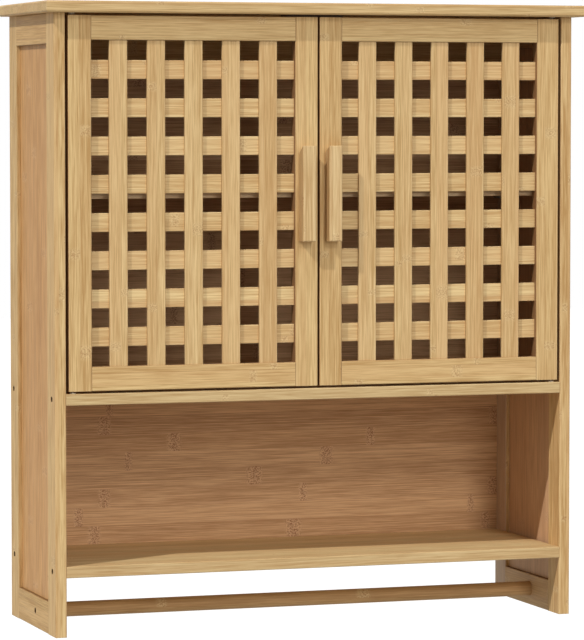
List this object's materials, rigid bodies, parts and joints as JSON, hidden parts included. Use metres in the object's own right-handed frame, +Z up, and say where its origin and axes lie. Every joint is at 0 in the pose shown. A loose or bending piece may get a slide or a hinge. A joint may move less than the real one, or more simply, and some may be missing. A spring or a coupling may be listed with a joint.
{
  "type": "bathroom wall cabinet",
  "caption": "Bamboo wall cabinet with lattice doors on pivot pins, an adjustable shelf behind them, an open bay below and a towel rod between frame-and-panel sides.",
  "frame": {"origin": "on the wall plane, midway between the two holes for the wall screws in the hanging rail", "axes": "+X to the right seen from the front, +Y into the wall, +Z up"},
  "size_m": [0.6, 0.201, 0.661],
  "materials": {
    "bamboo": "clear satin lacquer",
    "bamboo_top": "clear satin lacquer",
    "bamboo_panel": "clear satin lacquer",
    "bamboo_back": "clear satin lacquer",
    "zinc_steel": "zinc plated",
    "dark_steel": "black oxide",
    "nylon": "moulded",
    "catch_plastic": "moulded",
    "magnet": "sintered ferrite"
  },
  "bodies": {
    "carcass": {"left_side_front_stile": "bamboo", "left_side_rear_stile": "bamboo", "left_side_top_rail": "bamboo", "left_side_bottom_rail": "bamboo", "left_side_panel": "bamboo_panel", "right_side_front_stile": "bamboo", "right_side_rear_stile": "bamboo", "right_side_top_rail": "bamboo", "right_side_bottom_rail": "bamboo", "right_side_panel": "bamboo_panel", "top_board": "bamboo_top", "middle_shelf": "bamboo", "lower_shelf": "bamboo", "back_panel": "bamboo_back", "hanging_rail": "bamboo", "towel_rod": "bamboo", "shelf_pins": "zinc_steel", "pivot_bushes": "nylon", "catch_body": "catch_plastic", "catch_magnets": "magnet", "catch_screws": "zinc_steel", "shelf_screws": "dark_steel", "rod_screws": "dark_steel", "top_board_screws": "dark_steel", "back_panel_screws": "zinc_steel"},
    "left_door": {"left_door_hinge_stile": "bamboo", "left_door_meeting_stile": "bamboo", "left_door_bottom_rail": "bamboo", "left_door_top_rail": "bamboo", "left_door_upright_slats": "bamboo", "left_door_cross_slats": "bamboo", "left_door_handle": "bamboo", "left_door_handle_screws": "zinc_steel", "left_door_pivot_pins": "zinc_steel", "left_door_strike_plate": "zinc_steel", "left_door_strike_screw": "zinc_steel"},
    "right_door": {"right_door_hinge_stile": "bamboo", "right_door_meeting_stile": "bamboo", "right_door_bottom_rail": "bamboo", "right_door_top_rail": "bamboo", "right_door_upright_slats": "bamboo", "right_door_cross_slats": "bamboo", "right_door_handle": "bamboo", "right_door_handle_screws": "zinc_steel", "right_door_pivot_pins": "zinc_steel", "right_door_strike_plate": "zinc_steel", "right_door_strike_screw": "zinc_steel"},
    "inner_shelf": {"adjustable_shelf": "bamboo"}
  },
  "joints": [
    {"name": "left_door_swing", "type": "hinge", "parent": "carcass", "child": "left_door", "pos_m": [-0.2685, -0.181, 0], "axis": [0, 0, -1], "range_deg": [0, 105]},
    {"name": "right_door_swing", "type": "hinge", "parent": "carcass", "child": "right_door", "pos_m": [0.2685, -0.181, 0], "axis": [0, 0, 1], "range_deg": [0, 105]},
    {"name": "shelf_lift", "type": "slide", "parent": "carcass", "child": "inner_shelf", "axis": [0, 0, 1], "range_m": [0, 0.032]}
  ]
}
